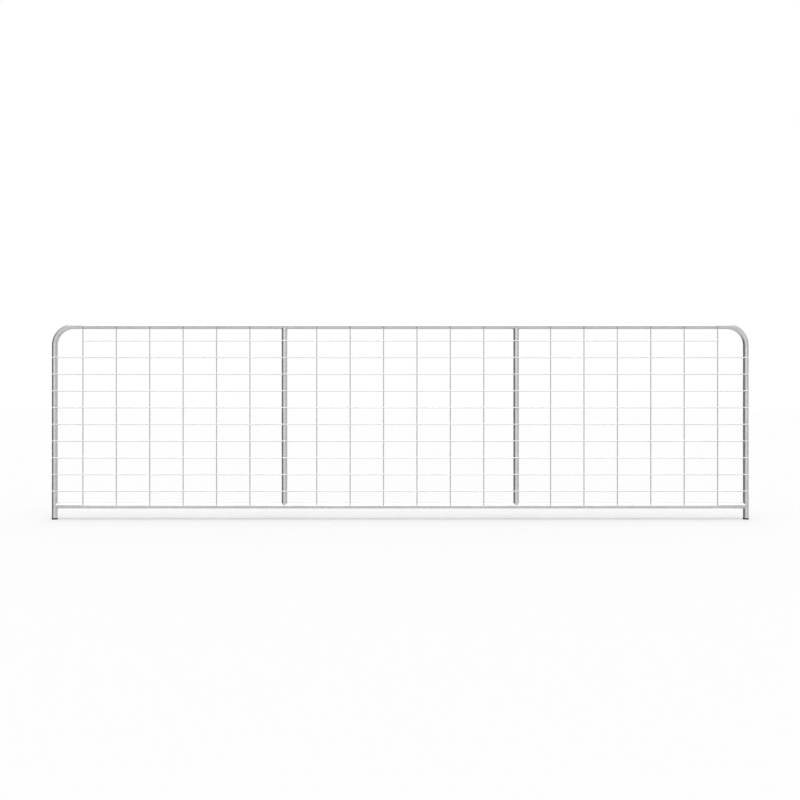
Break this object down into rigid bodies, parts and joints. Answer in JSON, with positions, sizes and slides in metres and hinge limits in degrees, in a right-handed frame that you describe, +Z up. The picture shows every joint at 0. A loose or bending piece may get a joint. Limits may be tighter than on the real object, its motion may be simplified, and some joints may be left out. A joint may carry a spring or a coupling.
{
  "type": "livestock panel gate",
  "caption": "Long, low field gate of galvanised pipe with rounded top corners, vertical stays, short plugged feet and welded wire mesh on one face.",
  "frame": {"origin": "centre of the whole gate's box in X and Y, on the ground under the feet", "axes": "+X along the gate from the left upright to the right one as seen from the mesh side, +Y from the mesh side through to the plain side, +Z up"},
  "size_m": [4.181, 0.0404, 1.175],
  "materials": {
    "zinc_pipe": "hot-dip galvanised pipe, satin, lightly spangled",
    "zinc_wire": "galvanised drawn wire, satin",
    "plug_plastic": "black moulded plastic, matt"
  },
  "bodies": {
    "root": {"frame_tube": "zinc_pipe", "bottom_rail": "zinc_pipe", "stay_left": "zinc_pipe", "stay_right": "zinc_pipe", "foot_plug_left": "plug_plastic", "foot_plug_right": "plug_plastic", "border_wire_bottom": "zinc_wire", "border_wire_top": "zinc_wire", "row_wire_01": "zinc_wire", "row_wire_02": "zinc_wire", "row_wire_03": "zinc_wire", "row_wire_04": "zinc_wire", "row_wire_05": "zinc_wire", "row_wire_06": "zinc_wire", "row_wire_07": "zinc_wire", "row_wire_08": "zinc_wire", "row_wire_09": "zinc_wire", "row_wire_10": "zinc_wire", "column_wire_01": "zinc_wire", "column_wire_02": "zinc_wire", "column_wire_03": "zinc_wire", "column_wire_04": "zinc_wire", "column_wire_05": "zinc_wire", "column_wire_06": "zinc_wire", "column_wire_07": "zinc_wire", "column_wire_08": "zinc_wire", "column_wire_09": "zinc_wire", "column_wire_10": "zinc_wire", "column_wire_11": "zinc_wire", "column_wire_12": "zinc_wire", "column_wire_13": "zinc_wire", "column_wire_14": "zinc_wire", "column_wire_15": "zinc_wire", "column_wire_16": "zinc_wire", "column_wire_17": "zinc_wire", "column_wire_18": "zinc_wire"}
  },
  "joints": []
}
